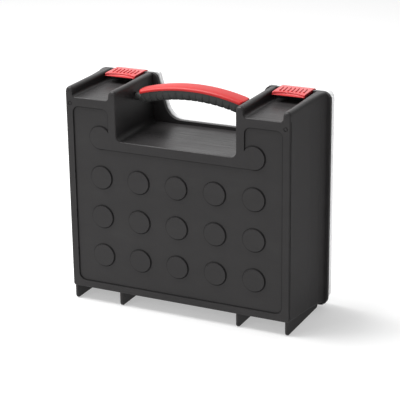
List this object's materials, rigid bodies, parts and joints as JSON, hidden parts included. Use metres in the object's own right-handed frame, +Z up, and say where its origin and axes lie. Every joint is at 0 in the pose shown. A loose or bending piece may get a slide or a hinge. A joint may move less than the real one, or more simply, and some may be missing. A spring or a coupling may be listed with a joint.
{
  "type": "socket wrench set in case",
  "caption": "Upright black carrying case with raised discs, arched red handle, red latches and a clear hinged lid, holding ratchets, sockets, extension bars and bits in foam.",
  "frame": {"origin": "on the floor under the middle of the closed case", "axes": "+X to the right seen from the disc-covered face, +Y from that face towards the clear lid, +Z up"},
  "size_m": [0.311, 0.113, 0.2765],
  "materials": {
    "case_black": "moulded satin",
    "lid_clear": "clear moulded",
    "latch_red": "moulded satin gloss",
    "grip_red": "smooth soft grip",
    "handle_black": "ribbed matte",
    "pin_steel": "drawn",
    "foam_grey": "closed-cell foam",
    "tool_chrome": "polished",
    "tool_grip": "matte",
    "bit_steel": "tempered"
  },
  "bodies": {
    "case": {"base_shell": "case_black", "bits_cross": "bit_steel", "bits_hexagon": "bit_steel", "bits_slotted": "bit_steel", "drive_adapter": "tool_chrome", "foam_spacer": "foam_grey", "half_inch_ratchet_body": "tool_chrome", "half_inch_ratchet_cover_plate": "tool_chrome", "half_inch_ratchet_cover_screws": "bit_steel", "half_inch_ratchet_grip": "tool_grip", "half_inch_ratchet_pawl": "bit_steel", "half_inch_socket_10": "tool_chrome", "half_inch_socket_11": "tool_chrome", "half_inch_socket_12": "tool_chrome", "half_inch_socket_13": "tool_chrome", "half_inch_socket_14": "tool_chrome", "half_inch_socket_15": "tool_chrome", "half_inch_socket_17": "tool_chrome", "half_inch_socket_18": "tool_chrome", "half_inch_socket_19": "tool_chrome", "half_inch_socket_21": "tool_chrome", "half_inch_socket_22": "tool_chrome", "half_inch_socket_24": "tool_chrome", "half_inch_socket_27": "tool_chrome", "handle_pivot_pins": "pin_steel", "hinge_pins": "pin_steel", "long_extension_bar": "tool_chrome", "quarter_inch_ratchet_body": "tool_chrome", "quarter_inch_ratchet_cover_plate": "tool_chrome", "quarter_inch_ratchet_grip": "tool_grip", "quarter_inch_socket_10": "tool_chrome", "quarter_inch_socket_11": "tool_chrome", "quarter_inch_socket_12": "tool_chrome", "quarter_inch_socket_13": "tool_chrome", "quarter_inch_socket_4": "tool_chrome", "quarter_inch_socket_5": "tool_chrome", "quarter_inch_socket_6": "tool_chrome", "quarter_inch_socket_7": "tool_chrome", "quarter_inch_socket_8": "tool_chrome", "quarter_inch_socket_9": "tool_chrome", "short_extension_bar": "tool_chrome", "small_extension_bar": "tool_chrome", "spinner_grip": "tool_grip", "spinner_shaft": "tool_chrome", "tool_tray": "foam_grey", "tower_insert_left": "foam_grey", "tower_insert_right": "foam_grey", "tower_tops": "case_black"},
    "lid": {"clear_lid": "lid_clear", "latch_pins": "pin_steel"},
    "half_drive": {"half_inch_ratchet_drive": "tool_chrome"},
    "half_button": {"half_inch_ratchet_release_button": "tool_chrome"},
    "half_lever": {"half_inch_ratchet_reverse_lever": "tool_chrome"},
    "handle": {"handle_core": "handle_black", "handle_grip": "grip_red"},
    "latch_left": {"latch_left": "latch_red"},
    "latch_right": {"latch_right": "latch_red"},
    "quarter_drive": {"quarter_inch_ratchet_drive": "tool_chrome"},
    "quarter_button": {"quarter_inch_ratchet_release_button": "tool_chrome"},
    "quarter_lever": {"quarter_inch_ratchet_reverse_lever": "tool_chrome"}
  },
  "joints": [
    {"name": "lid_hinge", "type": "hinge", "parent": "case", "child": "lid", "pos_m": [0, 0.0511, 0.008], "axis": [-1, 0, 0], "range_deg": [0, 90]},
    {"name": "latch_left_hinge", "type": "hinge", "parent": "lid", "child": "latch_left", "pos_m": [-0.1116, 0.0495, 0.2678], "axis": [-1, 0, 0], "range_deg": [0, 95]},
    {"name": "latch_right_hinge", "type": "hinge", "parent": "lid", "child": "latch_right", "pos_m": [0.1116, 0.0495, 0.2678], "axis": [-1, 0, 0], "range_deg": [0, 95]},
    {"name": "handle_pivot", "type": "hinge", "parent": "case", "child": "handle", "pos_m": [0, -0.0045, 0.2556], "axis": [1, 0, 0], "range_deg": [-85, 85]},
    {"name": "half_drive_spin", "type": "hinge", "parent": "case", "child": "half_drive", "pos_m": [-0.11, 0.0185, 0.112], "axis": [0, 1, 0], "continuous": true},
    {"name": "half_lever_turn", "type": "hinge", "parent": "case", "child": "half_lever", "pos_m": [-0.11, 0.0385, 0.112], "axis": [0, 1, 0], "range_deg": [-18, 18]},
    {"name": "half_button_press", "type": "slide", "parent": "half_drive", "child": "half_button", "axis": [0, -1, 0], "range_m": [0, 0.0015], "stiffness_N_per_m": 1500},
    {"name": "quarter_drive_spin", "type": "hinge", "parent": "case", "child": "quarter_drive", "pos_m": [-0.122, 0.0265, 0.19], "axis": [0, 1, 0], "continuous": true},
    {"name": "quarter_lever_turn", "type": "hinge", "parent": "case", "child": "quarter_lever", "pos_m": [-0.122, 0.0385, 0.19], "axis": [0, 1, 0], "range_deg": [-18, 18]},
    {"name": "quarter_button_press", "type": "slide", "parent": "quarter_drive", "child": "quarter_button", "axis": [0, -1, 0], "range_m": [0, 0.001], "stiffness_N_per_m": 1500}
  ]
}
